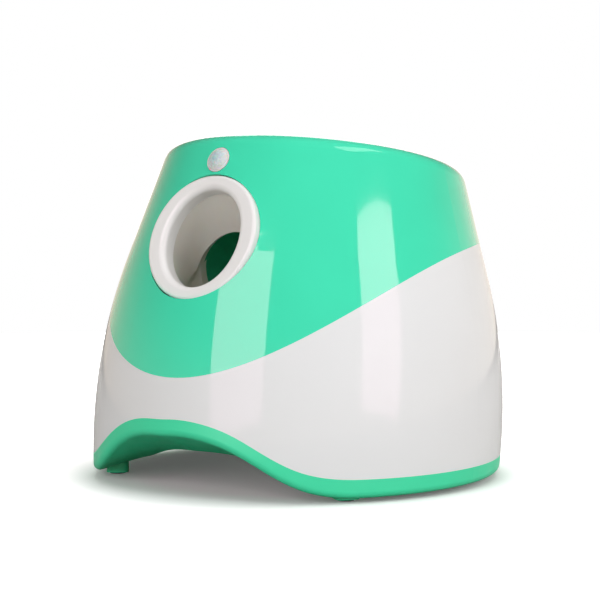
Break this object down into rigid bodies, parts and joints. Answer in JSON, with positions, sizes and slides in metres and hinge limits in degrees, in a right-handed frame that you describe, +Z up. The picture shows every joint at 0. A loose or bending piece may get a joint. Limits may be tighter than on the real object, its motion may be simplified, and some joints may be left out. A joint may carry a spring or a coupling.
{
  "type": "dog ball launcher",
  "caption": "Automatic launcher for small dog balls: leaning two-tone tub with a hopper on top, a round angled muzzle, a base arched front and back and a wound spring striker inside.",
  "frame": {"origin": "centre of the bounding box at the floor, under the tub", "axes": "-Y towards the muzzle (front), +Z up, X across; the tub's outside is the same on both sides of X = 0"},
  "size_m": [0.2906, 0.293, 0.2355],
  "materials": {
    "green_gloss": "gloss moulded ABS",
    "white_gloss": "gloss moulded ABS",
    "bezel_white": "satin moulded ABS",
    "duct_white": "satin moulded ABS",
    "lens_pearl": "milky polyethylene",
    "gear_white": "acetal",
    "striker_green": "acetal",
    "frame_grey": "moulded ABS",
    "panel_grey": "satin ABS",
    "black_plastic": "satin",
    "steel": "turned",
    "spring_steel": "drawn",
    "motor_steel": "zinc plated",
    "board_green": "epoxy glass",
    "component_black": "epoxy",
    "led_clear": "clear epoxy",
    "rubber_black": "matt",
    "cell_jacket": "printed jacket left plain",
    "duct_green": "satin",
    "contact_steel": "nickel plated"
  },
  "bodies": {
    "root": {"upper_shell": "green_gloss", "lower_shell": "white_gloss", "base_tray": "green_gloss", "hopper_bowl": "green_gloss", "muzzle_bezel": "bezel_white", "launch_pocket": "duct_white", "chute_left": "duct_green", "chute_right": "duct_green", "pir_lens": "lens_pearl", "pir_sensor": "steel", "pir_board": "board_green", "striker_guide": "frame_grey", "rear_cap": "frame_grey", "spring_rod": "steel", "main_spring": "spring_steel", "idler_shaft": "steel", "motor_body": "motor_steel", "chassis_left": "frame_grey", "chassis_right": "frame_grey", "gear_cover": "frame_grey", "chassis_screws": "steel", "base_screws": "steel", "rubber_feet": "rubber_black", "battery_bay": "frame_grey", "battery_cells": "cell_jacket", "battery_contacts": "contact_steel", "main_board": "board_green", "board_parts": "component_black", "control_panel": "panel_grey", "switch_body": "black_plastic", "led_lenses": "led_clear", "control_board": "board_green", "dc_jack": "black_plastic", "ball_switch": "black_plastic", "switch_bracket": "frame_grey"},
    "winder": {"sector_gear": "gear_white", "drive_wheel": "gear_white", "sector_shaft": "steel"},
    "idler": {"idler_gear": "gear_white"},
    "pinion": {"motor_pinion": "steel"},
    "striker_body": {"striker": "striker_green"},
    "rocker": {"power_rocker": "black_plastic"},
    "button": {"distance_button": "green_gloss"},
    "door": {"battery_door": "green_gloss"},
    "lever": {"ball_switch_lever": "steel"}
  },
  "joints": [
    {"name": "sector_turn", "type": "hinge", "parent": "root", "child": "winder", "pos_m": [0, -0.01279, 0.09619], "axis": [1, 0, 0], "range_deg": [0, 120]},
    {"name": "idler_turn", "type": "hinge", "parent": "root", "child": "idler", "pos_m": [0, 0.0189, 0.09174], "axis": [1, 0, 0], "range_deg": [-360, 0]},
    {"name": "pinion_turn", "type": "hinge", "parent": "root", "child": "pinion", "pos_m": [0, 0.03175, 0.07642], "axis": [1, 0, 0], "range_deg": [0, 1080]},
    {"name": "striker_slide", "type": "slide", "parent": "root", "child": "striker_body", "axis": [0, -0.6428, 0.766], "range_m": [-0.03142, 0], "stiffness_N_per_m": 10, "springref_m": 0.01, "deforming": ["main_spring"]},
    {"name": "rocker_tilt", "type": "hinge", "parent": "root", "child": "rocker", "pos_m": [0.017, 0.14175, 0.082], "axis": [1, 0, 0], "range_deg": [0, 20]},
    {"name": "button_press", "type": "slide", "parent": "root", "child": "button", "axis": [0, -1, 0], "range_m": [0, 0.0015], "stiffness_N_per_m": 300, "springref_m": -0.001},
    {"name": "door_slide", "type": "slide", "parent": "root", "child": "door", "axis": [0, -1, 0], "range_m": [0, 0.01]},
    {"name": "lever_dip", "type": "hinge", "parent": "root", "child": "lever", "pos_m": [0, 0.006, 0.1205], "axis": [1, 0, 0], "range_deg": [0, 6], "stiffness_Nm_per_rad": 0.01, "springref_deg": -5.73}
  ],
  "couplings": [
    {"joint": "idler_turn", "follows": "sector_turn", "ratio": -3},
    {"joint": "pinion_turn", "follows": "sector_turn", "ratio": 9},
    {"joint": "striker_slide", "follows": "sector_turn", "m_per_rad": -0.015}
  ]
}
